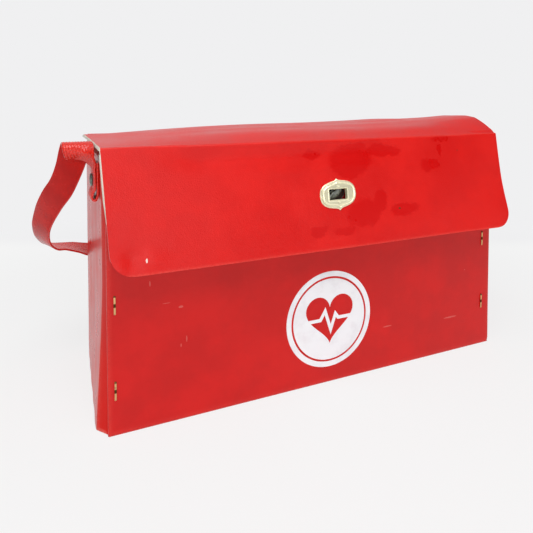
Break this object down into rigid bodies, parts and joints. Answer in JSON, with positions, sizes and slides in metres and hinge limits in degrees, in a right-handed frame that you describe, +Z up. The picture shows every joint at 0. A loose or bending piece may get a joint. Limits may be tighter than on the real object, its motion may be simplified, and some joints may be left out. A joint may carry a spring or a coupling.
{
  "type": "toy doctor case",
  "caption": "Flap-front toy doctor case in red leatherette over board, with stapled folded ends, a crowned hinged lid, a turn-lock clasp, a round print and a carrying strap.",
  "frame": {"origin": "middle of the case's footprint, on the surface that it stands on", "axes": "+X to the case's right as seen from the front, +Y to the back, +Z up; the flap faces -Y"},
  "size_m": [0.4236, 0.1824, 0.205],
  "materials": {
    "vinyl_panel": "smooth satin red leatherette",
    "vinyl_grained": "fine-grained semi-gloss red leatherette",
    "vinyl_strap": "red strap vinyl, embossed outside and smooth inside",
    "white_board": "white-lined paperboard with bare cut edges",
    "brass_plate": "pale brass-plated steel",
    "brass_wire": "dulled brass-coated staple wire",
    "steel_plate": "dull nickel-plated steel",
    "print_white": "white screen print, slightly worn"
  },
  "bodies": {
    "case": {"bottom_cover": "vinyl_panel", "bottom_board": "white_board", "front_cover": "vinyl_panel", "front_board": "white_board", "back_cover": "vinyl_panel", "back_board": "white_board", "left_end_cover": "vinyl_panel", "left_end_board": "white_board", "right_end_cover": "vinyl_panel", "right_end_board": "white_board", "lid_hinge_strip": "vinyl_panel", "lock_base": "steel_plate", "lock_washer": "steel_plate", "roundel_print": "print_white", "staples_front_left": "brass_wire", "staples_front_right": "brass_wire", "staples_back_left": "brass_wire", "staples_back_right": "brass_wire", "left_strap_rivet": "steel_plate", "right_strap_rivet": "steel_plate", "strap_washers": "steel_plate"},
    "lid": {"lid_cover": "vinyl_grained", "lid_board": "white_board", "flap_hinge_strip": "vinyl_grained"},
    "flap": {"flap_cover": "vinyl_grained", "flap_board": "white_board", "clasp_plate": "brass_plate", "clasp_backing": "steel_plate"},
    "button": {"turn_button": "steel_plate"},
    "strap": {"strap": "vinyl_strap"}
  },
  "joints": [
    {"name": "lid_hinge", "type": "hinge", "parent": "case", "child": "lid", "pos_m": [0, 0.065, 0.1895], "axis": [-1, 0, 0], "range_deg": [0, 180]},
    {"name": "flap_fold", "type": "hinge", "parent": "lid", "child": "flap", "pos_m": [0, -0.0673, 0.1895], "axis": [-1, 0, 0], "range_deg": [0, 100]},
    {"name": "button_turn", "type": "hinge", "parent": "case", "child": "button", "pos_m": [0.0015, -0.066, 0.1485], "axis": [0, -1, 0], "range_deg": [-40, 50]},
    {"name": "strap_swing", "type": "hinge", "parent": "case", "child": "strap", "pos_m": [0, -0.038, 0.1662], "axis": [1, 0, 0], "range_deg": [0, 270]}
  ]
}
